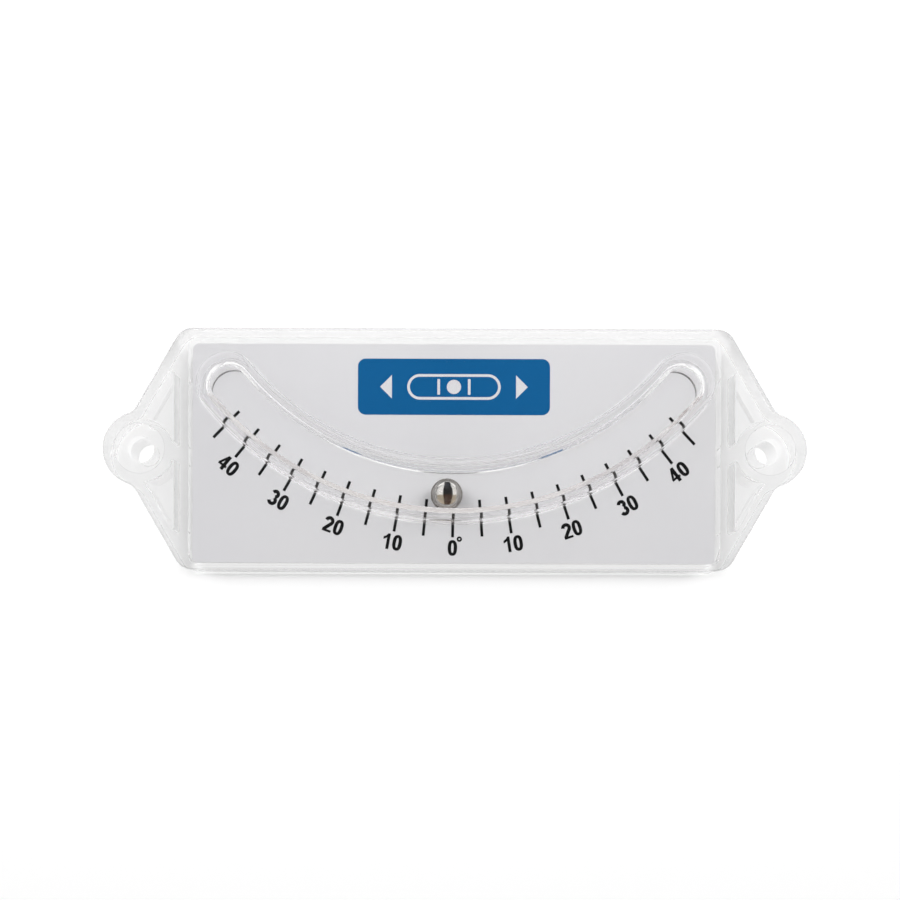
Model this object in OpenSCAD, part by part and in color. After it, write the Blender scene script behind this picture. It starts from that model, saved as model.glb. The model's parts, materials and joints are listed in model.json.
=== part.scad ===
// Curved ball level: a clear moulded cover with a hollow arc-shaped track, a printed
// scale card, a back plate and a steel ball that rolls along the track.
// It stands upright against a wall: X runs along it, Z is up and the front faces -Y.
// The origin lies on the back face, midway between the two screw holes.

/* [Body] */
// Distance between the centres of the two screw holes
hole_spacing = 125; // [105:0.5:160]
// Height from the bottom edge to the top edge
body_h = 48; // [44:0.5:60]
// Depth from the back to the flat front face
body_d = 9; // [7.5:0.1:10.5]
// How far each end of the top edge lies inside the screw hole, along the length
wing_reach = 8.35; // [7:0.05:11]
// How far beyond a screw hole the two slanted wing edges would meet
wing_point = 5.5; // [3:0.1:6.5]
// Radius of the four outer corners
corner_r = 4; // [1:0.25:6]

/* [Walls] */
// Thickness of the front wall
front_wall = 2.4; // [1.6:0.1:3]
// Thickness of the walls along the top and bottom edges
edge_wall = 1.45; // [1:0.05:2.5]
// How far the recess for the card stops short of the ends of the top edge
end_inset = 0.95; // [0.5:0.05:3]
// Thickness of the upright walls between the recess and the wing pockets
side_wall = 2.8; // [1.5:0.1:4]
// Thickness of the slanted wing walls
wing_wall = 1.9; // [1.2:0.1:2.5]
// Thickness of the web that joins each screw boss to the upright wall
web_t = 3.6; // [2:0.1:5]
// Inside corner radius of the recess for the card
recess_r = 1.5; // [0.5:0.1:3]

/* [Ears] */
// Diameter of the screw holes
hole_d = 5.3; // [3.5:0.1:6]
// Diameter of the dished seat for the screw head
dish_d = 10; // [7.5:0.1:11]
// Depth of the dished seat
dish_depth = 1; // [0.5:0.1:2.5]
// Width of the rim from the dished seat to the outside of the ear
ear_rim = 2.35; // [1.5:0.05:4]
// Width of the rim from the dished seat to the outside of the screw boss
boss_rim = 1.2; // [0.6:0.1:2]

/* [Track] */
// Radius of the track's centre line
track_r = 58.2; // [52:0.1:75]
// How far the lowest point of the track lies below the screw holes
track_drop = 8.5; // [4:0.1:12]
// Clear space between the ends of the ridge and the walls of the recess
track_margin = 2.6; // [1:0.1:6]
// Thickness of the track's side walls, from the groove to the foot of the ridge
track_wall = 1.6; // [1.4:0.05:3]
// Thickness of the guide ribs that run back to the card
rib_t = 1.2; // [0.8:0.1:1.7]
// Thickness of the roof over the groove
roof_t = 2.15; // [1.2:0.05:3]
// Radius of the ridge's rounded shoulders
ridge_round = 1; // [0.3:0.1:1.4]
// Fillet at the foot of the ridge
ridge_foot = 0.4; // [0.2:0.1:1]
// Width and height of the slope at each side of the groove's roof
roof_slope = 1.1; // [0.3:0.1:2]

/* [Ball] */
// Diameter of the steel ball
ball_d = 6.35; // [5:0.05:8]
// Play between the ball, at the middle of the groove, and each side of it
side_play = 1.325; // [0.9:0.025:1.5]
// Play in front of the ball and behind it
depth_play = 0.3; // [0.2:0.05:0.6]
// Gap between the ball and the lower side of the groove
ball_lift = 1; // [0.2:0.05:1.2]
// Where the ball rests, in degrees from the middle of the scale, negative to the left
ball_angle = -1.5; // [-40:0.1:40]

/* [Card and back plate] */
// Thickness of the printed card
card_t = 0.6; // [0.3:0.1:1]
// Thickness of the back plate
plate_t = 3; // [1.5:0.1:3.5]
// Gap between the edges of the card and the recess
card_gap = 0.2; // [0.1:0.05:0.5]
// Gap between the edges of the back plate and the recess
plate_gap = 0.1; // [0.05:0.05:0.4]

/* [Hidden] */
$fn = 96;

// How far a cut runs past the face that it opens
past = 1;
// How far the swept half of the track runs past the middle, in degrees, before it is cut off
track_overrun = 1;

// Outline, in the front view: x along the length, y up
hole_x = hole_spacing / 2;
corner_x = hole_x - wing_reach;
top_y = body_h / 2;
tip_x = hole_x + wing_point;
wing_lean = atan((tip_x - corner_x) / top_y);
// Outward normal of the upper right wing edge, the direction up along it, and its distance from the origin
wing_out = [cos(wing_lean), sin(wing_lean)];
wing_up = [-sin(wing_lean), cos(wing_lean)];
wing_reach_out = wing_out * [corner_x, top_y];
corner_tangent = corner_r * tan((90 - wing_lean) / 2);
ear_r = dish_d / 2 + ear_rim;
boss_r = dish_d / 2 + boss_rim;

// Recess for the card
recess_x = corner_x - end_inset;
recess_y = top_y - edge_wall;
pocket_x = recess_x + side_wall;

// Depths, counted from the back face towards the viewer
card_front = plate_t + card_t;
front_inner = body_d - front_wall;
groove_roof = card_front + ball_d + 2 * depth_play;
ridge_top = groove_roof + roof_t;
ridge_root = body_d - front_wall / 2;

// Track, in the front view
groove_half = ball_d / 2 + side_play;
rib_half = groove_half + rib_t;
ridge_half = groove_half + track_wall;
track_centre = [0, track_r - track_drop];
track_end_x = recess_x - track_margin - ridge_half;
track_half_angle = asin(track_end_x / track_r);

// Ball
ball_r = ball_d / 2;
ball_path_r = track_r + groove_half - ball_r - ball_lift;
ball_depth = card_front + depth_play + ball_r;

// Stands the front view up, so that its depth runs towards -Y
module upright() {
  rotate([90, 0, 0]) children();
}

// Repeats a shape in the right and left halves
module both_sides() {
  children();
  mirror([1, 0, 0]) children();
}

// Repeats a shape in all four quarters
module four_quarters() {
  both_sides() {
    children();
    mirror([0, 1, 0]) children();
  }
}

// What rounding takes off a square corner that lies at the origin and points to the upper right
module corner_waste(r) {
  difference() {
    square(2 * r, center = true);
    translate([-r, -r]) circle(r);
  }
}

// Rectangle about the origin with rounded corners
module rounded_rectangle(half_x, half_y, r) {
  difference() {
    square(2 * [half_x, half_y], center = true);
    four_quarters() translate([half_x, half_y]) corner_waste(r);
  }
}

// One end of the outline: half of the body with slanted wing edges and rounded corners
module body_half() {
  top_tangent = [corner_x - corner_tangent, top_y];
  wing_tangent = [corner_x, top_y] - corner_tangent * wing_up;
  polygon([
    [0, top_y],
    top_tangent,
    wing_tangent,
    [tip_x, 0],
    [wing_tangent.x, -wing_tangent.y],
    [top_tangent.x, -top_y],
    [0, -top_y]
  ]);
  for (side = [-1, 1])
    translate([top_tangent.x, side * (top_y - corner_r)]) circle(corner_r);
}

// Outline of the whole cover
module outline() {
  both_sides() {
    body_half();
    translate([hole_x, 0]) circle(ear_r);
  }
}

// Upper right wing pocket, between the upright wall, the slanted wall, the web and the screw boss
module wing_pocket() {
  slant = wing_reach_out - wing_wall;
  low_y = web_t / 2;
  difference() {
    polygon([
      [pocket_x, low_y],
      [(slant - wing_out.y * low_y) / wing_out.x, low_y],
      [pocket_x, (slant - wing_out.x * pocket_x) / wing_out.y]
    ]);
    translate([hole_x, 0]) circle(boss_r);
  }
}

// Right half of the ridge's section: x from the middle of the track, y the depth
module ridge_section() {
  foot_x = ridge_half + ridge_foot;
  foot_y = body_d + ridge_foot;
  difference() {
    translate([0, ridge_root]) square([ridge_half, ridge_top - ridge_root]);
    translate([ridge_half, ridge_top]) corner_waste(ridge_round);
  }
  difference() {
    translate([0, ridge_root]) square([foot_x, foot_y - ridge_root]);
    translate([foot_x, foot_y]) circle(ridge_foot);
  }
}

// Right half of the guide ribs' section
module rib_section() {
  translate([0, card_front]) square([rib_half, ridge_root - card_front]);
}

// Right half of the groove's section, open towards the card
module groove_section() {
  low = card_front - past;
  polygon([
    [0, low],
    [groove_half, low],
    [groove_half, groove_roof - roof_slope],
    [groove_half - roof_slope, groove_roof],
    [0, groove_roof]
  ]);
}

// Sweeps a section's right half, and its mirror image, along the arc and round both ends.
// The left half runs past the middle, is cut off there and mirrored, so that the halves meet exactly.
module along_track() {
  first = 270 - track_half_angle;
  far = 2 * track_r;
  translate(track_centre) both_sides() {
    intersection() {
      rotate(first) rotate_extrude(angle = track_half_angle + track_overrun)
        translate([track_r, 0]) both_sides() children();
      translate([-far, -far, -far]) cube([far, 2 * far, 2 * far]);
    }
    rotate(first) translate([track_r, 0]) rotate(180) rotate_extrude(angle = 180) children();
  }
}

// Screw hole with a dished seat for the head
module screw_hole() {
  translate([hole_x, 0, -past]) cylinder(d = hole_d, h = body_d + 2 * past);
  translate([hole_x, 0, body_d - dish_depth]) cylinder(d1 = hole_d, d2 = dish_d, h = dish_depth);
}

// Clear moulding: hollow wings, recess, raised track and ears
module clear_cover() {
  color([0.9, 0.92, 0.94, 0.4]) upright() difference() {
    union() {
      difference() {
        linear_extrude(body_d) outline();
        translate([0, 0, -past]) linear_extrude(front_inner + past) {
          rounded_rectangle(recess_x, recess_y, recess_r);
          four_quarters() wing_pocket();
        }
      }
      along_track() rib_section();
      along_track() ridge_section();
    }
    along_track() groove_section();
    both_sides() screw_hole();
  }
}

// White card that carries the printed scale
module scale_card() {
  color([0.85, 0.85, 0.87]) upright() translate([0, 0, plate_t]) linear_extrude(card_t)
    rounded_rectangle(recess_x - card_gap, recess_y - card_gap, recess_r - card_gap);
}

// White plate that closes the back, flush with the cover
module back_plate() {
  color([0.93, 0.93, 0.93]) upright() linear_extrude(plate_t)
    rounded_rectangle(recess_x - plate_gap, recess_y - plate_gap, recess_r - plate_gap);
}

// Polished steel ball, where it comes to rest
module ball() {
  color([0.75, 0.75, 0.76]) upright() translate(track_centre) rotate(270 + ball_angle)
    translate([ball_path_r, 0, ball_depth]) sphere(ball_r);
}

clear_cover();
scale_card();
back_plate();
ball();
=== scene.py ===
"""Looks of a curved ball level: clear moulded cover, printed scale, steel ball and a white studio."""
import json
import math

import bmesh
import bpy
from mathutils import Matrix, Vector
from mathutils.geometry import delaunay_2d_cdt


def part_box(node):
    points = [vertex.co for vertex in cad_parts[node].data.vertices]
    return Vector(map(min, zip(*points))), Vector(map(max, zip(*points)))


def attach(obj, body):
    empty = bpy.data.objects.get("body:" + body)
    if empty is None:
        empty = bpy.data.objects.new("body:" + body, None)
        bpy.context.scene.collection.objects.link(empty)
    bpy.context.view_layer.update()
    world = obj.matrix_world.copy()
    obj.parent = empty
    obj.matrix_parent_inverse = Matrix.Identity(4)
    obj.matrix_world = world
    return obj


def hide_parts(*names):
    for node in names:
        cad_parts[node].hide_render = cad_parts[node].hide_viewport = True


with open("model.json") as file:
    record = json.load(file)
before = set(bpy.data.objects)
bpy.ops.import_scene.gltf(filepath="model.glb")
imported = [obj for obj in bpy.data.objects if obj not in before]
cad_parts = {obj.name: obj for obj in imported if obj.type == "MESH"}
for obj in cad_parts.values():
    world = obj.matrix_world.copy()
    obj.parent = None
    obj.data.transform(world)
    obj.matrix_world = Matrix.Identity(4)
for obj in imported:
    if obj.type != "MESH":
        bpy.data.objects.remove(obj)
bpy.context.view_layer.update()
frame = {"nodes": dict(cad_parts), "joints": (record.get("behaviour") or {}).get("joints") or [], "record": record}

# Millimetres to Blender's metres
MM = 0.001
# Angle of straight down in the front view, in degrees
DOWN = 270

# Sizes read from the frame, in millimetres. In the front view x runs to the right and z up,
# and depth counts from the back face to the viewer
cover_low, cover_high = (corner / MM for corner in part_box("clear_cover"))
card_low, card_high = (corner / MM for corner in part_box("scale_card"))
plate_low, plate_high = (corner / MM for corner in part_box("back_plate"))
MOUNTS = {mount["name"]: mount for mount in frame["record"]["mounts"]}
HOLE = MOUNTS["right_screw_hole"]
HOLE_X = HOLE["pos_m"][0] / MM
HOLE_R = HOLE["dims"]["r_mm"]
DISH_BOTTOM = HOLE["dims"]["length_mm"]
TOP = cover_high.z
EAR_R = cover_high.x - HOLE_X
RIDGE_TOP = -cover_low.y
CARD_FRONT = -card_low.y
PLATE_D = -plate_low.y
TRACK_Z = frame["joints"][0]["pos_m"][2] / MM

# Sizes of the cover that the frame's boxes don't give, in millimetres
BODY_D = 9.0
WING_REACH = 8.35
WING_POINT = 5.5
CORNER_R = 4.0
FRONT_WALL = 2.4
SIDE_WALL = 2.8
WING_WALL = 1.9
WEB_HALF = 1.8
CARD_GAP = 0.2
RECESS_R = 1.5
DISH_R = 5.0
BOSS_RIM = 1.2
TRACK_R = 58.2
TRACK_MARGIN = 2.6
TRACK_WALL = 1.6
GROOVE_HALF = 4.5
ROOF_T = 2.15
ROOF_SLOPE_WIDE = 0.95
ROOF_SLOPE_HIGH = 1.2
RIDGE_ROUND = 1.0
RIDGE_FOOT = 0.4
RIB_T = 1.2
RIB_GAP = 0.05

# Places that follow from those sizes
CORNER_X = HOLE_X - WING_REACH
TIP_X = HOLE_X + WING_POINT
WING_LEAN = math.atan2(TIP_X - CORNER_X, TOP)
FRONT_INNER = BODY_D - FRONT_WALL
RECESS_X = card_high.x + CARD_GAP
RECESS_Z = card_high.z + CARD_GAP
POCKET_X = RECESS_X + SIDE_WALL
BOSS_R = DISH_R + BOSS_RIM
RIB_HALF = GROOVE_HALF + RIB_T
RIDGE_HALF = GROOVE_HALF + TRACK_WALL
TRACK_END_X = RECESS_X - TRACK_MARGIN - RIDGE_HALF
GROOVE_ROOF = RIDGE_TOP - ROOF_T

# Radii of the small roundings that moulded edges have
EDGE = 0.3
INNER_EDGE = 0.2
ROOF_EDGE = 0.12
RIB_EDGE = 0.06
# How far the blends of the outline and of the pockets reach along both sides of a corner
EAR_BLEND = 1.2
POCKET_BLEND_WEB = 0.24
POCKET_BLEND_BOSS = 0.5
POCKET_BLEND_TOP = 1.5

# Surfaces of the cover, by role: (tint, index).
# Walls bend light less than plastic does, so that they show as faintly as in the photograph
SURFACES = {
    "front": (0.80, 1.49),
    "inside": (1.0, 1.49),
    "wall": (1.0, 1.15),
    "hole": (0.80, 1.18),
    # Painted shade: the rounded front edges of the outline and of the screw holes take a darker tint, for the dark
    # lines along them
    "edge": (0.60, 1.15),
}

# Steps along curves
EDGE_STEPS = 5
SHOULDER_STEPS = 10
CORNER_STEPS = 10
CIRCLE_STEPS = 72
ARC_STEPS = 150
CAP_STEPS = 40

# What the flat filler keeps: all that the loops cover, or that less the loops inside it
INSIDE = 1
INSIDE_WITH_HOLES = 2
# Points closer than this, in millimetres, are one point
NEAR = 1e-6
# Least cosine that a mitre is worked out from, so that sharp corners don't run far out
LEAST_MITRE = 0.3

# Thickness of the ink, in millimetres
INK_T = 0.02

# Printed scale, in millimetres and degrees: its own centre, its turn, and the turn of one degree on it
PRINT_X = 0.65
PRINT_Z = 54.0
PRINT_TURN = -0.67
PRINT_STEP = 0.969
TICK_STEP = 5
TICK_LAST = 45
TICK_IN = 63.35
TICK_OUT = 70.85
TICK_W = 0.58
NUMBER_STEP = 10
NUMBER_LAST = 40
NUMBER_R = 73.0
DIGIT_H = 3.2
DIGIT_ADVANCE = 2.12
RING_AT = (1.2, -17.2)
RING_R = 0.54
RING_STROKE = 0.36

# Blue bar above the track, in millimetres
LABEL_Z = 13.7
BAR_HALF_X = 19.5
BAR_HALF_Z = 5.7
BAR_REACH = 1.6
VIAL_HALF_X = 9.5
VIAL_HALF_Z = 2.6
VIAL_LINE = 0.55
VIAL_MARK_X = 3.1
VIAL_MARK_HALF = 1.6
BUBBLE_R = 1.45
ARROW_TIP_X = 15.0
ARROW_HALF = 2.4


def place(x, z, depth):
    """A point of the front view in the frame."""
    return Vector((x, -depth, z)) * MM


def polar(angle):
    """Unit vector of the front view at an angle in degrees."""
    return Vector((math.cos(math.radians(angle)), math.sin(math.radians(angle))))


def spread(start, end, steps):
    """Evenly spaced values from start to end."""
    return [start + (end - start) * i / steps for i in range(steps + 1)]


def arc(centre, radius, start, end, steps):
    """Points along an arc of the front view, with its angles in degrees."""
    return [Vector(centre) + radius * polar(angle) for angle in spread(start, end, steps)]


def rounded(corners, steps=CORNER_STEPS):
    """Closed loop through (point, reach) corners. An arc cuts each off that far along both its sides."""
    points = []
    for i, (point, reach) in enumerate(corners):
        before = corners[i - 1][0] - point
        after = corners[(i + 1) % len(corners)][0] - point
        reach = min(reach, before.length, after.length)
        if not reach:
            points.append(point)
            continue
        before.normalize()
        after.normalize()
        half = before.angle(after) / 2
        middle = point + (before + after).normalized() * reach / math.cos(half)
        first = point + before * reach - middle
        last = point + after * reach - middle
        sweep = first.angle_signed(last)
        start = math.degrees(math.atan2(first.y, first.x))
        points += arc(middle, first.length, start, start - math.degrees(sweep), steps)
    return [p for i, p in enumerate(points) if (p - points[i - 1]).length > NEAR]


def with_normals(points):
    """Gives each point of an anticlockwise loop its outward normal and the mitre of an offset there."""
    loop = []
    for i, point in enumerate(points):
        into = (point - points[i - 1]).normalized()
        out = (points[(i + 1) % len(points)] - point).normalized()
        along = (into + out).normalized()
        mitre = max(along.dot(out), LEAST_MITRE)
        loop.append((point, Vector((along.y, -along.x)), 1 / mitre))
    return loop


def circle(centre):
    """Loop about a centre, whose offset is its radius."""
    angles = spread(0, 360, CIRCLE_STEPS)[:-1]
    return [(Vector(centre), polar(angle), 1.0) for angle in angles]


def mirrored(points):
    """The same loop in the left half, still anticlockwise."""
    return [Vector((-p.x, p.y)) for p in reversed(points)]


def flipped(points):
    """The same loop in the lower half, still anticlockwise."""
    return [Vector((p.x, -p.y)) for p in reversed(points)]


def numbered(loops):
    """Running numbers of the points of each loop, as the flat filler takes them."""
    numbers, first = [], 0
    for loop in loops:
        numbers.append(list(range(first, first + len(loop))))
        first += len(loop)
    return numbers


def add_object(name, data):
    """Links a new object into the scene."""
    obj = bpy.data.objects.new(name, data)
    bpy.context.scene.collection.objects.link(obj)
    return obj


class Shell:
    """A closed surface made of rings of points that keep their true normals."""

    def __init__(self):
        self.points = []
        self.normals = []
        self.faces = []
        self.roles = []

    def ring(self, loop, offset, depth, lean):
        """Adds a loop moved out by offset. Its normal leans from the loop's own normal to the viewer."""
        first = len(self.points)
        across = math.cos(math.radians(lean))
        ahead = math.sin(math.radians(lean))
        for point, normal, mitre in loop:
            moved = point + normal * offset * mitre
            self.points.append(place(moved.x, moved.y, depth))
            self.normals.append(Vector((normal.x * across, -ahead, normal.y * across)))
        return list(range(first, len(self.points)))

    def sweep(self, loop, rows, role="", last=0, last_role=""):
        """Joins rings at (offset, depth, lean) rows and returns the first and the last ring.

        As many strips as last says, counted from the end, take the last role.
        """
        rings = [self.ring(loop, *row) for row in rows]
        strips = list(zip(rings, rings[1:]))
        for number, (a, b) in enumerate(strips):
            strip_role = last_role if number >= len(strips) - last else role
            for i in range(len(a)):
                self.faces.append((a[i - 1], a[i], b[i], b[i - 1]))
                self.roles.append(strip_role)
        return rings[0], rings[-1]

    def cap(self, *rings, role=""):
        """Fills the flat face between an outer ring and the holes in it."""
        order = [i for ring in rings for i in ring]
        flat = [Vector((self.points[i].x, self.points[i].z)) / MM for i in order]
        _, _, triangles, origin, _, _ = delaunay_2d_cdt(flat, [], numbered(rings), INSIDE_WITH_HOLES, NEAR)
        for triangle in triangles:
            self.faces.append(tuple(order[origin[i][0]] for i in triangle))
            self.roles.append(role)

    def build(self, name, roles=("",)):
        """The finished object, shaded by the true normals, with each face given the material index of its role."""
        slots = {role: number for number, role in enumerate(roles)}
        mesh = bpy.data.meshes.new(name)
        mesh.from_pydata(self.points, [], self.faces)
        mesh.polygons.foreach_set("material_index", [slots[role] for role in self.roles])
        work = bmesh.new()
        work.from_mesh(mesh)
        bmesh.ops.recalc_face_normals(work, faces=work.faces)
        work.to_mesh(mesh)
        work.free()
        mesh.shade_smooth()
        mesh.normals_split_custom_set_from_vertices(self.normals)
        return add_object(name, mesh)


# Loops of the cover in the front view


def wing_out():
    """Direction out from the upper right wing edge."""
    return Vector((math.cos(WING_LEAN), math.sin(WING_LEAN)))


def wing_joint(radius, inset=0.0):
    """Where a circle about the screw hole meets the wing edge moved in by an inset, and its angle there."""
    out = wing_out()
    up = Vector((-out.y, out.x))
    hole = Vector((HOLE_X, 0))
    away = out.dot(Vector((CORNER_X, TOP)) - hole) - inset
    joint = hole + away * out + math.sqrt(radius ** 2 - away ** 2) * up
    return joint, math.degrees(math.atan2(joint.y, joint.x - HOLE_X))


def cover_outline():
    """Body with slanted wings and round ears."""
    joint, joint_angle = wing_joint(EAR_R)
    start = joint_angle - math.degrees(EAR_BLEND / EAR_R)
    corner_reach = CORNER_R * math.tan(math.pi / 4 - WING_LEAN / 2)
    ear_arc = [(p, 0) for p in arc((HOLE_X, 0), EAR_R, -start, start, CIRCLE_STEPS)]
    upper = [(joint, EAR_BLEND), (Vector((CORNER_X, TOP)), corner_reach)]
    lower = [(Vector((p.x, -p.y)), reach) for p, reach in reversed(upper)]
    right = lower + ear_arc + upper
    left = [(Vector((-p.x, p.y)), reach) for p, reach in reversed(right)]
    return rounded(right + left)


def wing_pocket():
    """Upper right pocket at the back, between upright wall, web, screw boss and wing wall."""
    out = wing_out()
    on_wall, wall_angle = wing_joint(BOSS_R, WING_WALL)
    slant = out.dot(Vector((CORNER_X, TOP))) - WING_WALL
    web_x = HOLE_X - math.sqrt(BOSS_R ** 2 - WEB_HALF ** 2)
    web_angle = math.degrees(math.atan2(WEB_HALF, web_x - HOLE_X))
    first = web_angle - math.degrees(POCKET_BLEND_WEB / BOSS_R)
    last = wall_angle + math.degrees(POCKET_BLEND_BOSS / BOSS_R)
    top = Vector((POCKET_X, (slant - out.x * POCKET_X) / out.y))
    corners = [(Vector((x, WEB_HALF)), POCKET_BLEND_WEB) for x in (POCKET_X, web_x)]
    corners += [(p, 0) for p in arc((HOLE_X, 0), BOSS_R, first, last, CORNER_STEPS)]
    corners += [(on_wall, POCKET_BLEND_BOSS), (top, POCKET_BLEND_TOP)]
    return rounded(corners, EDGE_STEPS)


def rounded_rectangle(half_x, half_z, reach):
    """Loop of a rectangle about the origin with rounded corners."""
    signs = ((-1, -1), (1, -1), (1, 1), (-1, 1))
    return rounded([(Vector((half_x * sx, half_z * sz)), reach) for sx, sz in signs])


def track_line():
    """Centre line of the track, there and back, whose offset is the distance from it."""
    centre = Vector((0, TRACK_Z))
    half = math.degrees(math.asin(TRACK_END_X / TRACK_R))
    first, last = DOWN - half, DOWN + half
    loop = [(centre + TRACK_R * polar(a), polar(a), 1.0) for a in spread(first, last, ARC_STEPS)]
    end = centre + TRACK_R * polar(last)
    loop += [(end, polar(last + a), 1.0) for a in spread(0, 180, CAP_STEPS)[1:]]
    loop += [(centre + TRACK_R * polar(a), -polar(a), 1.0) for a in spread(last, first, ARC_STEPS)[1:]]
    end = centre + TRACK_R * polar(first)
    loop += [(end, polar(first + a), 1.0) for a in spread(180, 360, CAP_STEPS)[1:-1]]
    return loop


# Rows of the cover and the plate: offset from a loop, depth, and lean of the normal in degrees


def bend(offset, depth, radius, start, end, steps=EDGE_STEPS):
    """Rows round an edge whose normal turns from start to end. A negative radius makes a hollow fillet."""
    rows = []
    for lean in spread(start, end, steps):
        turn = polar(lean)
        rows.append((offset + radius * turn.x, depth + radius * turn.y, lean))
    return rows


def side_rows(depth):
    """Outer side of a body, from its rounded back edge to its rounded front edge."""
    return bend(-EDGE, EDGE, EDGE, -90, 0) + bend(-EDGE, depth - EDGE, EDGE, 0, 90)


def ridge_rows():
    """Outside of the ridge, from the fillet at its foot to the end of its rounded shoulder."""
    foot = bend(RIDGE_HALF + RIDGE_FOOT, BODY_D + RIDGE_FOOT, -RIDGE_FOOT, 90, 0)
    return foot + bend(RIDGE_HALF - RIDGE_ROUND, RIDGE_TOP - RIDGE_ROUND, RIDGE_ROUND, 0, 90, SHOULDER_STEPS)


def roof_rows():
    """Corner of the groove from its flat roof, down the slope, to its side."""
    lean = math.degrees(math.atan2(ROOF_SLOPE_HIGH, ROOF_SLOPE_WIDE))
    top_ease = ROOF_EDGE * math.tan(math.radians(lean / 2))
    side_ease = ROOF_EDGE * math.tan(math.radians(45 - lean / 2))
    top = GROOVE_HALF - ROOF_SLOPE_WIDE - top_ease
    side = GROOVE_ROOF - ROOF_SLOPE_HIGH - side_ease
    return (bend(top, GROOVE_ROOF - ROOF_EDGE, -ROOF_EDGE, 270, 270 - lean)
            + bend(GROOVE_HALF - ROOF_EDGE, side, -ROOF_EDGE, 270 - lean, 180))


def rib_rows():
    """Guide rib from the groove's side, round its end at the card, to the floor of the recess."""
    end = CARD_FRONT + RIB_GAP + RIB_EDGE
    return (bend(GROOVE_HALF + RIB_EDGE, end, RIB_EDGE, 180, 270)
            + bend(RIB_HALF - RIB_EDGE, end, RIB_EDGE, 270, 360)
            + bend(RIB_HALF + RIB_EDGE, FRONT_INNER - RIB_EDGE, -RIB_EDGE, 360, 270))


def recess_rows():
    """Wall of a recess, from its floor to the back face."""
    return (bend(-INNER_EDGE, FRONT_INNER - INNER_EDGE, -INNER_EDGE, 270, 180)
            + bend(INNER_EDGE, INNER_EDGE, INNER_EDGE, 180, 270))


def hole_rows():
    """Screw hole from the back face to the rim of its dished seat."""
    slope = math.atan2(BODY_D - DISH_BOTTOM, DISH_R - HOLE_R)
    seat = 90 + math.degrees(slope)
    low = DISH_BOTTOM - INNER_EDGE * (1 - math.sin(slope)) / math.cos(slope)
    rim_depth = BODY_D - EDGE
    rim = HOLE_R + ((rim_depth - DISH_BOTTOM) * math.cos(slope) + EDGE) / math.sin(slope)
    return (bend(HOLE_R + INNER_EDGE, INNER_EDGE, INNER_EDGE, 270, 180)
            + bend(HOLE_R + INNER_EDGE, low, INNER_EDGE, 180, seat)
            + bend(rim, rim_depth, EDGE, seat, 90))


def make_cover():
    """Clear moulding: outline, raised track, groove and ribs, recess, wing pockets and screw holes."""
    shell = Shell()
    track = track_line()
    outline = with_normals(cover_outline())
    # Its rounded front edge takes the darker edge tint, a painted shade
    back, front = shell.sweep(outline, side_rows(BODY_D), "wall", EDGE_STEPS, "edge")
    foot, crest = shell.sweep(track, ridge_rows(), "inside", SHOULDER_STEPS, "front")
    shell.cap(crest, role="front")
    roof, ribs = shell.sweep(track, roof_rows() + rib_rows(), "inside")
    shell.cap(roof, role="inside")
    recess = with_normals(rounded_rectangle(RECESS_X, RECESS_Z, RECESS_R))
    floor, mouth = shell.sweep(recess, recess_rows(), "wall")
    shell.cap(floor, ribs, role="inside")
    back_holes = [mouth]
    front_holes = [foot]
    pocket = wing_pocket()
    for loop in (pocket, mirrored(pocket), flipped(pocket), mirrored(flipped(pocket))):
        floor, mouth = shell.sweep(with_normals(loop), recess_rows(), "wall")
        shell.cap(floor, role="inside")
        back_holes.append(mouth)
    for side in (-1, 1):
        # The rims of the dished seats take the darker edge tint, a painted shade
        under, seat = shell.sweep(circle((side * HOLE_X, 0)), hole_rows(), "hole", EDGE_STEPS, "edge")
        back_holes.append(under)
        front_holes.append(seat)
    shell.cap(back, *back_holes, role="inside")
    shell.cap(front, *front_holes, role="front")
    return shell.build("cover", SURFACES)


def make_plate():
    """Back plate with softened edges."""
    shell = Shell()
    loop = with_normals(rounded_rectangle(plate_high.x, plate_high.z, RECESS_R))
    back, front = shell.sweep(loop, side_rows(PLATE_D))
    shell.cap(back)
    shell.cap(front)
    return shell.build("plate")


# Printed marks: flat figures of the front view, as lists of loops to be merged


def print_figure(name, loops, holes=()):
    """Thin layer of ink on the front of the card: the loops merged into one shape, less the holes."""
    every = [*loops, *holes]
    points = [p for loop in every for p in loop]
    flat, _, triangles, _, _, sources = delaunay_2d_cdt(points, [], numbered(every), INSIDE, NEAR)
    inked = [face for face, source in zip(triangles, sources) if source and max(source) < len(loops)]
    mesh = bpy.data.meshes.new(name)
    mesh.from_pydata([place(p.x, p.y, CARD_FRONT) for p in flat], [], inked)
    layer = bmesh.new()
    layer.from_mesh(mesh)
    bmesh.ops.delete(layer, geom=[v for v in layer.verts if not v.link_faces], context="VERTS")
    bmesh.ops.recalc_face_normals(layer, faces=layer.faces)
    lifted = bmesh.ops.extrude_face_region(layer, geom=layer.faces[:], use_keep_orig=True)
    raised = [v for v in lifted["geom"] if isinstance(v, bmesh.types.BMVert)]
    bmesh.ops.translate(layer, verts=raised, vec=Vector((0, -INK_T * MM, 0)))
    bmesh.ops.recalc_face_normals(layer, faces=layer.faces)
    layer.to_mesh(mesh)
    layer.free()
    return add_object(name, mesh)


def ribbon(points, width):
    """Anticlockwise loop round a line of points, with square ends."""
    left, right = [], []
    for i, point in enumerate(points):
        into = (point - points[i - 1]).normalized() if i else Vector((0, 0))
        out = (points[i + 1] - point).normalized() if i + 1 < len(points) else Vector((0, 0))
        along = (into + out).normalized()
        reach = width / 2 / max(along.dot(out if out.length else into), LEAST_MITRE)
        side = Vector((-along.y, along.x)) * reach
        left.append(point + side)
        right.append(point - side)
    return right + left[::-1]


def round_loop(centre, radius):
    """Closed circle."""
    return arc(centre, radius, 0, 360, CIRCLE_STEPS)[:-1]


def bar_loop(centre, half_x, half_z, reach):
    """Closed rectangle with rounded corners about a centre."""
    return [Vector(centre) + p for p in rounded_rectangle(half_x, half_z, reach)]


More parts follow.
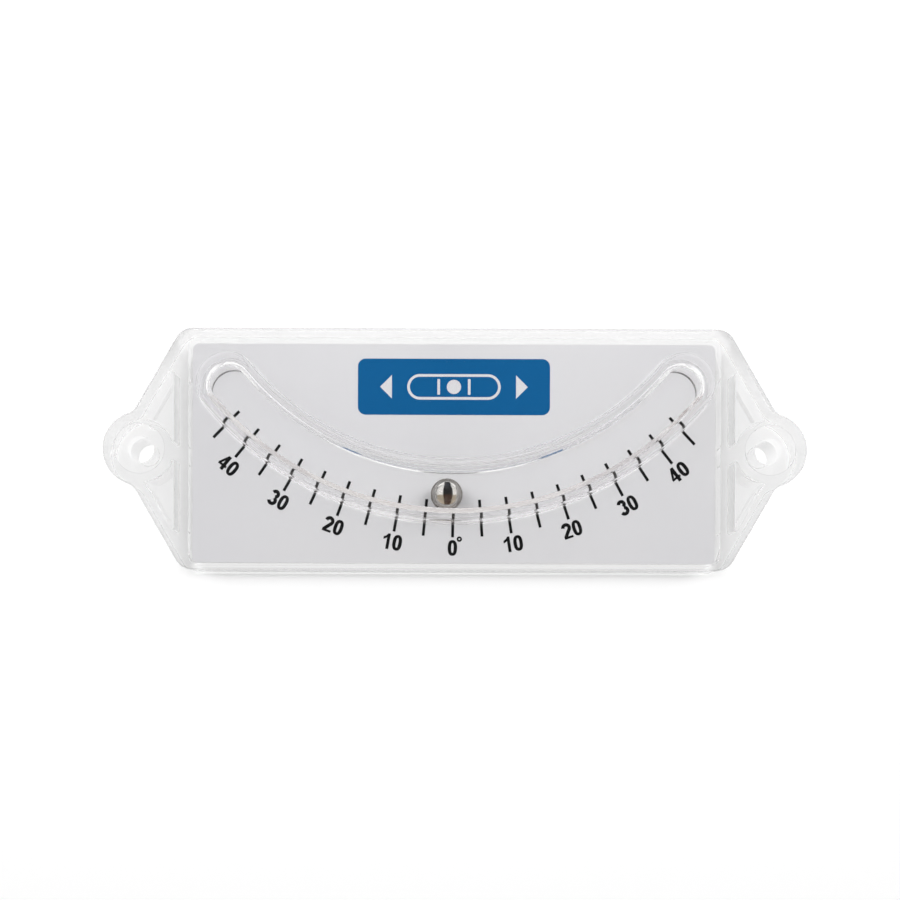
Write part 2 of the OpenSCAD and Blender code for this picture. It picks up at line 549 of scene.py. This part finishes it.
def turned(loops, angle, at):
    """Loops turned by an angle and moved to a place."""
    across = polar(angle)
    up = Vector((-across.y, across.x))
    return [[at + p.x * across + p.y * up for p in loop] for loop in loops]


# Digits in digit heights, x from the middle and z up from the foot. Each gives its loops and their holes

DIGIT_MIDDLE = 0.5
DIGIT_STROKE = 0.22
THIN_STROKE = 0.15
ZERO_HALF_X = 0.30
ZERO_HALF_Z = 0.50
ZERO_THINNER = 0.85
OVAL_POWER = 2.4


def oval(half_x, half_z):
    """Squarish oval about the middle of a digit."""
    points = []
    for angle in spread(0, 360, CIRCLE_STEPS)[:-1]:
        turn = polar(angle)
        x = math.copysign(abs(turn.x) ** (2 / OVAL_POWER), turn.x)
        z = math.copysign(abs(turn.y) ** (2 / OVAL_POWER), turn.y)
        points.append(Vector((half_x * x, DIGIT_MIDDLE + half_z * z)))
    return points


def stroke(start, end, width):
    """Straight stroke between two places."""
    return ribbon([Vector(start), Vector(end)], width)


def digit_zero():
    """Oval ring, thinner above and below."""
    hole = oval(ZERO_HALF_X - DIGIT_STROKE, ZERO_HALF_Z - ZERO_THINNER * DIGIT_STROKE)
    return [oval(ZERO_HALF_X, ZERO_HALF_Z)], [hole]


def digit_one():
    """Stem with a flag at its top left."""
    stem = [(-0.02, 0), (0.175, 0), (0.175, 1), (0.02, 1)]
    flag = [(-0.08, 0.86), (-0.245, 0.765), (-0.245, 0.60), (-0.12, 0.65), (-0.02, 0.725)]
    return [[Vector(p) for p in stem + flag]], []


def digit_two():
    """Bowl that runs down to a flat foot."""
    bowl = arc((0, 0.70), 0.205, 175, -35, CORNER_STEPS) + [Vector((-0.21, 0.10))]
    foot = stroke((-0.29, 0.075), (0.29, 0.075), THIN_STROKE)
    return [ribbon(bowl, DIGIT_STROKE), foot], []


def digit_three():
    """Two bowls, one over the other."""
    upper = arc((-0.01, 0.735), 0.18, 165, -75, CORNER_STEPS)
    lower = arc((-0.01, 0.29), 0.205, 75, -165, CORNER_STEPS)
    return [ribbon(upper, DIGIT_STROKE), ribbon(lower, DIGIT_STROKE)], []


def digit_four():
    """Stem, crossbar and slanted stroke."""
    stem = stroke((0.10, 0), (0.10, 1), DIGIT_STROKE)
    crossbar = stroke((-0.31, 0.295), (0.30, 0.295), THIN_STROKE)
    slant = stroke((-0.25, 0.30), (0.06, 0.93), THIN_STROKE)
    return [stem, crossbar, slant], []


DIGITS = {"0": digit_zero, "1": digit_one, "2": digit_two, "3": digit_three, "4": digit_four}


def digit_figure(letter, shift, turn, spot):
    """Loops and holes of a digit in its real size, shifted along its number and turned about the spot."""
    figure = []
    for loops in DIGITS[letter]():
        sized = [[Vector((p.x * DIGIT_H + shift, (p.y - DIGIT_MIDDLE) * DIGIT_H)) for p in loop]
                 for loop in loops]
        figure.append(turned(sized, turn, spot))
    return figure


def scale_turn(degree):
    """How far the mark of a degree is turned on the card."""
    return degree * PRINT_STEP + PRINT_TURN


def make_scale():
    """Ticks, numbers and degree ring, round the print's own centre."""
    centre = Vector((PRINT_X, PRINT_Z))
    ticks = []
    for degree in range(-TICK_LAST, TICK_LAST + 1, TICK_STEP):
        out = polar(DOWN + scale_turn(degree))
        ticks.append(ribbon([centre + TICK_IN * out, centre + TICK_OUT * out], TICK_W))
    pieces = [print_figure("scale_ticks", ticks)]
    for degree in range(-NUMBER_LAST, NUMBER_LAST + 1, NUMBER_STEP):
        text = str(abs(degree))
        turn = scale_turn(degree)
        spot = centre + NUMBER_R * polar(DOWN + turn)
        for i, letter in enumerate(text):
            shift = (i - (len(text) - 1) / 2) * DIGIT_ADVANCE
            figure = digit_figure(letter, shift, turn, spot)
            pieces.append(print_figure(f"scale_digit_{len(pieces) - 1}", *figure))
    ring = round_loop(RING_AT, RING_R)
    hole = round_loop(RING_AT, RING_R - RING_STROKE)
    pieces.append(print_figure("degree_ring", [ring], [hole]))
    return pieces


def make_label():
    """Blue bar with a spirit-level sign left white: a vial, its bubble between two lines, and arrows."""
    middle = Vector((0, LABEL_Z))
    vial = bar_loop(middle, VIAL_HALF_X, VIAL_HALF_Z, VIAL_HALF_Z)
    bubble_and_lines = [round_loop(middle, BUBBLE_R)]
    arrows = []
    for side in (-1, 1):
        tip = middle + Vector((side * ARROW_TIP_X, 0))
        back = tip.x - side * ARROW_HALF
        arrow = [tip, Vector((back, LABEL_Z + ARROW_HALF)), Vector((back, LABEL_Z - ARROW_HALF))]
        # The left arrow is listed backwards, so that both run anticlockwise
        arrows.append(arrow[::side])
        spot = middle + Vector((side * VIAL_MARK_X, 0))
        bubble_and_lines.append(bar_loop(spot, VIAL_LINE / 2, VIAL_MARK_HALF, VIAL_LINE / 4))
    bar = bar_loop(middle, BAR_HALF_X, BAR_HALF_Z, BAR_REACH)
    inner_z = VIAL_HALF_Z - VIAL_LINE
    inner = bar_loop(middle, VIAL_HALF_X - VIAL_LINE, inner_z, inner_z)
    return [print_figure("label_bar", [bar], [vial, *arrows]),
            print_figure("label_vial", [inner], bubble_and_lines)]


# Shader nodes


def new_material(name):
    """An empty node material and its node tree."""
    material = bpy.data.materials.new(name)
    material.use_nodes = True
    tree = material.node_tree
    tree.nodes.clear()
    return material, tree


def set_socket(tree, socket, value):
    """Gives a socket a number, a colour or another node's output."""
    if isinstance(value, bpy.types.NodeSocket):
        tree.links.new(value, socket)
    elif isinstance(value, tuple) and socket.type == "RGBA":
        socket.default_value = (*value[:3], 1)
    else:
        socket.default_value = value


def add_node(tree, kind, settings=None, **sockets):
    """A node with its settings and sockets set."""
    node = tree.nodes.new(kind)
    for key, value in (settings or {}).items():
        setattr(node, key, value)
    for key, value in sockets.items():
        set_socket(tree, node.inputs[key.replace("_", " ")], value)
    return node


def axes(tree, coordinates):
    """X, Y and Z of the object's own coordinates or of the world's directions."""
    where = add_node(tree, "ShaderNodeTexCoord")
    return add_node(tree, "ShaderNodeSeparateXYZ", Vector=where.outputs[coordinates]).outputs


def speckle(tree, scale, detail=4.0):
    """Noise over the object, in its own coordinates."""
    where = add_node(tree, "ShaderNodeTexCoord")
    noise = add_node(tree, "ShaderNodeTexNoise", Vector=where.outputs["Object"], Scale=scale, Detail=detail)
    return noise.outputs["Fac"]


def combine(tree, operation, *values):
    """The result of a sum, comparison or the like of values and other nodes' outputs."""
    node = add_node(tree, "ShaderNodeMath", {"operation": operation})
    for i, value in enumerate(values):
        set_socket(tree, node.inputs[i], value)
    return node.outputs[0]


def ramp(tree, factor, low, high, start=0.0, end=1.0):
    """A value that runs from low to high while a factor runs from start to end."""
    node = add_node(tree, "ShaderNodeMapRange", Value=factor,
                    From_Min=start, From_Max=end, To_Min=low, To_Max=high)
    return node.outputs["Result"]


def tint(tree, factor, first, second):
    """A colour between two, by a factor."""
    node = add_node(tree, "ShaderNodeMix", {"data_type": "RGBA"}, Factor=factor)
    for socket, colour in ((node.inputs[6], first), (node.inputs[7], second)):
        set_socket(tree, socket, colour)
    return node.outputs[2]


def bump(tree, height, strength, distance):
    """A normal roughened by a height."""
    node = add_node(tree, "ShaderNodeBump", Height=height, Strength=strength, Distance=distance)
    return node.outputs["Normal"]


def mix_shaders(tree, factor, first, second):
    """A shader between two, by a factor."""
    node = add_node(tree, "ShaderNodeMixShader", Fac=factor)
    tree.links.new(first.outputs[0], node.inputs[1])
    tree.links.new(second.outputs[0], node.inputs[2])
    return node


def finish_material(tree, shader):
    """Makes a shader the surface of its material."""
    output = add_node(tree, "ShaderNodeOutputMaterial")
    tree.links.new(shader.outputs[0], output.inputs["Surface"])


# Materials of the object


def clear_plastic(name, shade, index):
    """Clear moulding, faintly wavy.

    Lamps shine through it to the card, and light that was mirrored twice leaves it straight.
    """
    material, tree = new_material(name)
    waves = speckle(tree, scale=90, detail=2.0)
    haze = speckle(tree, scale=700, detail=3.0)
    surface = add_node(
        tree, "ShaderNodeBsdfPrincipled", IOR=index, Transmission_Weight=1.0,
        Base_Color=(shade, shade, shade),
        Roughness=ramp(tree, haze, low=0.0, high=0.01),
        Normal=bump(tree, waves, strength=0.004, distance=0.001))
    through = add_node(tree, "ShaderNodeBsdfTransparent", Color=(0.95, 0.95, 0.95))
    path = add_node(tree, "ShaderNodeLightPath").outputs
    lamp_ray = combine(tree, "MAXIMUM", path["Is Shadow Ray"], path["Is Diffuse Ray"])
    mirrored_twice = ramp(tree, path["Glossy Depth"], low=0.0, high=1.0, start=1.0, end=2.0)
    straight = combine(tree, "MAXIMUM", lamp_ray, mirrored_twice)
    finish_material(tree, mix_shaders(tree, straight, surface, through))
    return material


def paper_card():
    """Matt white card with a fine fibre."""
    material, tree = new_material("printed_card")
    fibre = speckle(tree, scale=2500)
    cloud = speckle(tree, scale=30, detail=2.0)
    surface = add_node(
        tree, "ShaderNodeBsdfPrincipled", Roughness=0.6,
        Base_Color=tint(tree, cloud, (0.785, 0.78, 0.81), (0.825, 0.82, 0.83)),
        Normal=bump(tree, fibre, strength=0.1, distance=0.0001))
    finish_material(tree, surface)
    return material


def white_plastic():
    """Satin white plastic with a fine moulded grain."""
    material, tree = new_material("white_plastic")
    grain = speckle(tree, scale=1800)
    cloud = speckle(tree, scale=40, detail=2.0)
    surface = add_node(
        tree, "ShaderNodeBsdfPrincipled",
        Base_Color=tint(tree, cloud, (0.78, 0.78, 0.78), (0.83, 0.83, 0.825)),
        Roughness=ramp(tree, grain, low=0.35, high=0.55),
        Normal=bump(tree, grain, strength=0.25, distance=0.0002))
    finish_material(tree, surface)
    return material


def polished_steel():
    """Ground and polished steel."""
    material, tree = new_material("polished_steel")
    haze = speckle(tree, scale=900)
    surface = add_node(
        tree, "ShaderNodeBsdfPrincipled", Metallic=1.0, Specular_Tint=(0.45, 0.42, 0.38),
        Base_Color=tint(tree, haze, (0.42, 0.41, 0.39), (0.48, 0.47, 0.455)),
        Roughness=ramp(tree, haze, low=0.04, high=0.12))
    finish_material(tree, surface)
    return material


def ink(name, thin, full):
    """Printing ink that covers a little unevenly."""
    material, tree = new_material(name)
    grain = speckle(tree, scale=3000)
    surface = add_node(
        tree, "ShaderNodeBsdfPrincipled", Specular_IOR_Level=0.15,
        Base_Color=tint(tree, grain, thin, full),
        Roughness=ramp(tree, grain, low=0.5, high=0.7))
    finish_material(tree, surface)
    return material


# Object

black_ink = ink("black_ink", thin=(0.006, 0.006, 0.007), full=(0.002, 0.002, 0.002))
blue_ink = ink("blue_ink", thin=(0.004, 0.135, 0.36), full=(0.001, 0.10, 0.285))
cover = make_cover()
for role, surface in SURFACES.items():
    cover.data.materials.append(clear_plastic(f"clear_plastic_{role}", *surface))
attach(cover, "housing")
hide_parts("clear_cover")

plate = make_plate()
plate.data.materials.append(white_plastic())
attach(plate, "housing")
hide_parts("back_plate")

for pieces, colour in ((make_scale(), black_ink), (make_label(), blue_ink)):
    for piece in pieces:
        piece.data.materials.append(colour)
        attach(piece, "housing")

frame["nodes"]["scale_card"].data.materials[0] = paper_card()
frame["nodes"]["ball"].data.materials[0] = polished_steel()

# Stage, in metres: a glowing wall behind the level, a board in front of it, a room to mirror, and lamps

WALL_Y = 0.0003
WALL_HALF = 0.6
WALL_PAINT = (0.78, 0.78, 0.78)
# Glow of the wall, and painted light: a stronger glow on a strip of it behind the cover's lower wall, standing in
# for the light that this wall guides on the real level.
# The strip's middle height, and where it fades out up and down and to the sides
GLOW = 0.225
PAINTED_LIGHT_GLOW = 0.64
PAINTED_LIGHT_Z = -0.0231
PAINTED_LIGHT_REACH = (0.0007, 0.0009)
PAINTED_LIGHT_SIDES = (0.052, 0.054)
# Light from all round, and the room that reflections show: its floor fades in by z and its sides by x
AMBIENT = (0.42, 0.42, 0.42)
ROOM_WHITE = (1, 1, 1)
ROOM_FLOOR = (-0.25, -0.05)
ROOM_SIDES = (0.2, 0.6)
ROOM_FLOOR_COLOUR = (0.75, 0.69, 0.675)
ROOM_MIDDLE_COLOUR = (0.74, 0.74, 0.75)
ROOM_SIDE_COLOUR = (1.3, 1.3, 1.3)
# Dark window in the room where the camera stands, by x over y and by z over y
WINDOW_SIDE = (0.5, 0.4)
WINDOW_UP = (0.26, 0.18)
WINDOW_MIDDLE = 0.235
WINDOW_COLOUR = (0.03, 0.03, 0.035)
# Board that the ball mirrors: its dark stripe ends by x, and its warm lower part begins by z
BOARD_Y = -0.018
BOARD_HALF_X = 0.040
BOARD_HALF_Z = 0.055
BOARD_STRIPE = (0.0055, 0.0068)
BOARD_LOW = (-0.0115, -0.0095)
STRIPE_COLOUR = (0.035, 0.035, 0.04)
STRIPE_LOW_COLOUR = (0.16, 0.09, 0.06)
BOARD_COLOUR = (2.4, 2.4, 2.4)
BOARD_LOW_COLOUR = (1.05, 0.9, 0.7)
# A ray from inside the cover has passed more surfaces and mirrors than these
BOARD_TRANSMISSIONS = 2.5
BOARD_MIRRORS = 0.5
# Lamps: place, width and height, and watts
SIDE_LAMP_X = 0.30
SIDE_LAMP_Y = -0.40
SIDE_LAMP_Z = 0.20
SIDE_LAMP_SIZE = (0.42, 0.24)
SIDE_LAMP_WATTS = 1.68
BACK_LAMP_Y = 0.6
BACK_LAMP_SIZE = (0.3, 0.2)
BACK_LAMP_WATTS = 1.2


def hide_from(obj, *rays):
    """Keeps an object out of sight of some kinds of rays."""
    for ray in rays:
        setattr(obj, f"visible_{ray}", False)


def upright_sheet(name, half_x, half_z, y, face, material):
    """Flat upright rectangle, whose order of corners says which way it faces."""
    corners = [(-half_x, y, -half_z), (half_x, y, -half_z), (half_x, y, half_z), (-half_x, y, half_z)]
    mesh = bpy.data.meshes.new(name)
    mesh.from_pydata(corners, [], [face])
    mesh.materials.append(material)
    return add_object(name, mesh)


def wall_material():
    """Pale wall with a glow that brings it to white, with painted light on a strip behind the cover's lower wall,
    and with nothing to see from behind.
    """
    material, tree = new_material("wall")
    paint = add_node(tree, "ShaderNodeBsdfDiffuse", Color=WALL_PAINT)
    along = axes(tree, "Object")
    # Painted light: the glow is stronger on a strip behind the cover's lower wall
    height = combine(tree, "ABSOLUTE", combine(tree, "SUBTRACT", along["Z"], PAINTED_LIGHT_Z))
    above = ramp(tree, height, 0.0, 1.0, *PAINTED_LIGHT_REACH)
    beside = ramp(tree, combine(tree, "ABSOLUTE", along["X"]), 0.0, 1.0, *PAINTED_LIGHT_SIDES)
    off_painted_light = combine(tree, "MAXIMUM", above, beside)
    glow = add_node(tree, "ShaderNodeEmission", Strength=ramp(tree, off_painted_light, PAINTED_LIGHT_GLOW, GLOW))
    both = add_node(tree, "ShaderNodeAddShader")
    tree.links.new(paint.outputs[0], both.inputs[0])
    tree.links.new(glow.outputs[0], both.inputs[1])
    behind = add_node(tree, "ShaderNodeNewGeometry").outputs["Backfacing"]
    nothing = add_node(tree, "ShaderNodeBsdfTransparent")
    finish_material(tree, mix_shaders(tree, behind, both, nothing))
    return material


def make_wall():
    """White wall that the level hangs on, facing the viewer."""
    wall = upright_sheet("wall", WALL_HALF, WALL_HALF, WALL_Y, (0, 1, 2, 3), wall_material())
    hide_from(wall, "diffuse", "shadow")


def board_material():
    """White board with a dark stripe down its middle, and warm below."""
    material, tree = new_material("board")
    along = axes(tree, "Object")
    low = ramp(tree, along["Z"], 1.0, 0.0, *BOARD_LOW)
    stripe = tint(tree, low, STRIPE_COLOUR, STRIPE_LOW_COLOUR)
    sides = tint(tree, low, BOARD_COLOUR, BOARD_LOW_COLOUR)
    aside = ramp(tree, combine(tree, "ABSOLUTE", along["X"]), 0.0, 1.0, *BOARD_STRIPE)
    shine = add_node(tree, "ShaderNodeEmission", Color=tint(tree, aside, stripe, sides))
    nothing = add_node(tree, "ShaderNodeBsdfTransparent")
    path = add_node(tree, "ShaderNodeLightPath").outputs
    inside = combine(tree, "GREATER_THAN", path["Transmission Depth"], BOARD_TRANSMISSIONS)
    mirrored_once = combine(tree, "GREATER_THAN", path["Glossy Depth"], BOARD_MIRRORS)
    shown = combine(tree, "MULTIPLY", inside, mirrored_once)
    finish_material(tree, mix_shaders(tree, shown, nothing, shine))
    return material


def make_board():
    """Board that only what lies inside the cover mirrors, facing the level."""
    board = upright_sheet("board", BOARD_HALF_X, BOARD_HALF_Z, BOARD_Y, (3, 2, 1, 0), board_material())
    hide_from(board, "camera", "diffuse", "glossy", "shadow")


def seen_rays(tree):
    """1 for the rays that carry a picture: camera, mirror and glass rays."""
    path = add_node(tree, "ShaderNodeLightPath").outputs
    mirror = combine(tree, "MAXIMUM", path["Is Camera Ray"], path["Is Glossy Ray"])
    return combine(tree, "MAXIMUM", mirror, path["Is Transmission Ray"])


def room_colour(tree):
    """Room by direction: floor, middle and bright sides, with a dark window where the camera stands."""
    along = axes(tree, "Generated")
    below = ramp(tree, along["Z"], 1.0, 0.0, *ROOM_FLOOR)
    aside = ramp(tree, combine(tree, "ABSOLUTE", along["X"]), 0.0, 1.0, *ROOM_SIDES)
    over = tint(tree, aside, ROOM_MIDDLE_COLOUR, ROOM_SIDE_COLOUR)
    around = tint(tree, below, over, ROOM_FLOOR_COLOUR)
    sideways = combine(tree, "ABSOLUTE", combine(tree, "DIVIDE", along["X"], along["Y"]))
    upwards = combine(tree, "ADD", combine(tree, "DIVIDE", along["Z"], along["Y"]), WINDOW_MIDDLE)
    near_x = ramp(tree, sideways, 0.0, 1.0, *WINDOW_SIDE)
    near_z = ramp(tree, combine(tree, "ABSOLUTE", upwards), 0.0, 1.0, *WINDOW_UP)
    ahead = combine(tree, "LESS_THAN", along["Y"], 0.0)
    window = combine(tree, "MULTIPLY", combine(tree, "MULTIPLY", near_x, near_z), ahead)
    return tint(tree, window, around, WINDOW_COLOUR)


def make_world():
    """White for the eye, a plain level for the light, and a room for the reflections."""
    world = bpy.data.worlds.new("studio")
    world.use_nodes = True
    tree = world.node_tree
    tree.nodes.clear()
    path = add_node(tree, "ShaderNodeLightPath").outputs
    mirrored_once = combine(tree, "MINIMUM", path["Glossy Depth"], 1.0)
    seen = tint(tree, mirrored_once, ROOM_WHITE, room_colour(tree))
    colour = tint(tree, seen_rays(tree), AMBIENT, seen)
    background = add_node(tree, "ShaderNodeBackground", Color=colour)
    output = add_node(tree, "ShaderNodeOutputWorld")
    tree.links.new(background.outputs[0], output.inputs["Surface"])
    bpy.context.scene.world = world


def softbox(name, spot, target, size, watts):
    """Rectangular lamp that faces a target."""
    light = bpy.data.lights.new(name, "AREA")
    light.shape = "RECTANGLE"
    light.size, light.size_y = size
    light.energy = watts
    lamp = add_object(name, light)
    lamp.location = spot
    lamp.rotation_mode = "QUATERNION"
    lamp.rotation_quaternion = (Vector(target) - Vector(spot)).to_track_quat("-Z", "Y")
    hide_from(lamp, "camera", "glossy", "transmission")


def make_lamps():
    """A lamp at either side in front, and one behind the wall for the back."""
    for name, side in (("left_box", -1), ("right_box", 1)):
        spot = (SIDE_LAMP_X * side, SIDE_LAMP_Y, SIDE_LAMP_Z)
        softbox(name, spot, (0, 0, SIDE_LAMP_Z), SIDE_LAMP_SIZE, SIDE_LAMP_WATTS)
    softbox("back_box", (0, BACK_LAMP_Y, 0), (0, 0, 0), BACK_LAMP_SIZE, BACK_LAMP_WATTS)


# Camera, in millimetres and degrees: square to the front, a little to the left and below the middle

CAMERA_X = -8.0
CAMERA_Z = -42.0
CAMERA_AWAY = 189.0
CAMERA_ROLL = -0.2
SENSOR_WIDTH = 36.0
CLIP_START = 10.0
# In pixels of the photograph: its width, the focal length, and where the middle of the front face shows
IMAGE_PIXELS = 900.0
FOCAL_PIXELS = 909.0
MIDDLE_PIXEL_X = 454.0
MIDDLE_PIXEL_Z = 449.0


def make_camera():
    """Camera whose shifts bring the middle of the front face to its pixel in the photograph."""
    data = bpy.data.cameras.new("camera")
    data.sensor_width = SENSOR_WIDTH
    data.lens = FOCAL_PIXELS / IMAGE_PIXELS * SENSOR_WIDTH
    data.clip_start = CLIP_START * MM
    pixels_per_mm = FOCAL_PIXELS / (CAMERA_AWAY - BODY_D)
    data.shift_x = 0.5 - (MIDDLE_PIXEL_X + CAMERA_X * pixels_per_mm) / IMAGE_PIXELS
    data.shift_y = (MIDDLE_PIXEL_Z - CAMERA_Z * pixels_per_mm) / IMAGE_PIXELS - 0.5
    camera = add_object("camera", data)
    camera.location = Vector((CAMERA_X, -CAMERA_AWAY, CAMERA_Z)) * MM
    camera.rotation_euler = (math.radians(90), math.radians(CAMERA_ROLL), 0)
    return camera


make_wall()
make_board()
make_world()
make_lamps()
bpy.context.scene.camera = make_camera()
bpy.context.scene.view_settings.view_transform = "Standard"
